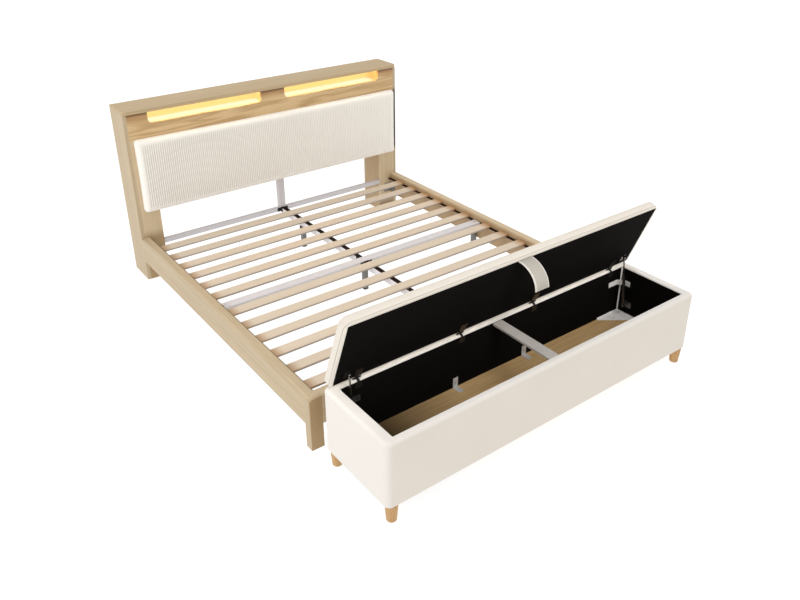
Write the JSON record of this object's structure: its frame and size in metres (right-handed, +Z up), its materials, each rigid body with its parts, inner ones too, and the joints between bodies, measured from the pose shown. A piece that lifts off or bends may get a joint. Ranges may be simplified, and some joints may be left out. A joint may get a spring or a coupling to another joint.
{
  "type": "bed with blanket chest",
  "caption": "Wide slatted bed frame with an upright box headboard, a ribbed cushion and lit recesses, and an upholstered lidded chest at its foot.",
  "frame": {"origin": "centre of the set's outline on the floor", "axes": "+X to the set's right seen from the foot, +Y from the foot towards the headboard, +Z up"},
  "size_m": [2.02, 2.908, 1.134],
  "materials": {
    "oak": "satin lacquered oak veneer",
    "light_tray": "matt, lit from inside",
    "light_strip": "diffusing, gives warm light",
    "cushion_fabric": "soft matt fabric in upright ribs",
    "white_steel": "satin powder coat",
    "black_plastic": "matt",
    "grey_steel": "satin",
    "bolt_steel": "zinc plated",
    "slat_wood": "planed, pale",
    "chest_fabric": "fine matt weave",
    "lining_fabric": "matt non-woven",
    "board_wood": "plain board",
    "foot_wood": "satin lacquered",
    "pale_steel": "zinc plated",
    "dark_steel": "satin black",
    "rod_steel": "polished",
    "strap_fabric": "ribbed webbing"
  },
  "bodies": {
    "bed": {"head_top": "oak", "head_fascia": "oak", "head_side_left": "oak", "head_side_right": "oak", "fascia_posts": "oak", "slot_corners": "oak", "leg_front_panels": "oak", "leg_inner_panels": "oak", "leg_back_panels": "oak", "head_back": "oak", "head_bottom": "oak", "cushion_board": "oak", "light_tray_left": "light_tray", "light_tray_right": "light_tray", "led_strips": "light_strip", "head_cushion": "cushion_fabric", "centre_post": "white_steel", "head_bar": "white_steel", "rail_left": "oak", "rail_right": "oak", "foot_rail": "oak", "foot_leg_left": "oak", "foot_leg_right": "oak", "side_ledges": "white_steel", "slat_straps": "black_plastic", "beam_head": "white_steel", "beam_foot": "white_steel", "mid_bar": "white_steel", "support_legs": "grey_steel", "leg_glides": "black_plastic", "beam_brackets": "grey_steel", "rail_brackets": "grey_steel", "frame_bolts": "bolt_steel", "slats_head": "slat_wood", "slats_foot": "slat_wood", "chest_front": "chest_fabric", "chest_rear": "chest_fabric", "chest_left": "chest_fabric", "chest_right": "chest_fabric", "chest_lining": "lining_fabric", "chest_floor": "board_wood", "chest_bar": "pale_steel", "chest_feet": "foot_wood", "floor_brackets": "pale_steel", "corner_plates": "pale_steel", "corner_strips": "pale_steel", "corner_braces": "pale_steel", "hinge_frame_leaves": "dark_steel", "strut_wall_brackets": "grey_steel"},
    "lid": {"lid_cover": "chest_fabric", "lid_board": "board_wood", "lid_panel": "lining_fabric", "pull_strap": "strap_fabric", "hinge_lid_leaves": "dark_steel", "hinge_pins": "bolt_steel", "strut_lid_brackets": "dark_steel"},
    "strut_tube_left": {"strut_tube_left": "dark_steel"},
    "strut_tube_right": {"strut_tube_right": "dark_steel"},
    "strut_rod_left": {"strut_rod_left": "rod_steel"},
    "strut_rod_right": {"strut_rod_right": "rod_steel"}
  },
  "joints": [
    {"name": "lid_hinge", "type": "hinge", "parent": "bed", "child": "lid", "pos_m": [0, -1.005, 0.433], "axis": [1, 0, 0], "range_deg": [0, 68.7], "deforming": ["pull_strap"]},
    {"name": "strut_pivot_left", "type": "hinge", "parent": "bed", "child": "strut_tube_left", "pos_m": [-0.911, -1.084, 0.208], "axis": [1, 0, 0], "range_deg": [0, 5.89]},
    {"name": "strut_stroke_left", "type": "slide", "parent": "strut_tube_left", "child": "strut_rod_left", "axis": [0, 0.1167, 0.9932], "range_m": [-0.0848, 0]},
    {"name": "strut_pivot_right", "type": "hinge", "parent": "bed", "child": "strut_tube_right", "pos_m": [0.911, -1.084, 0.208], "axis": [1, 0, 0], "range_deg": [0, 5.89]},
    {"name": "strut_stroke_right", "type": "slide", "parent": "strut_tube_right", "child": "strut_rod_right", "axis": [0, 0.1167, 0.9932], "range_m": [-0.0848, 0]}
  ],
  "couplings": [
    {"joint": "strut_pivot_left", "follows": "lid_hinge", "ratio": 0.08545},
    {"joint": "strut_stroke_left", "follows": "lid_hinge", "m_per_rad": -0.07063},
    {"joint": "strut_pivot_right", "follows": "lid_hinge", "ratio": 0.08545},
    {"joint": "strut_stroke_right", "follows": "lid_hinge", "m_per_rad": -0.07063}
  ]
}
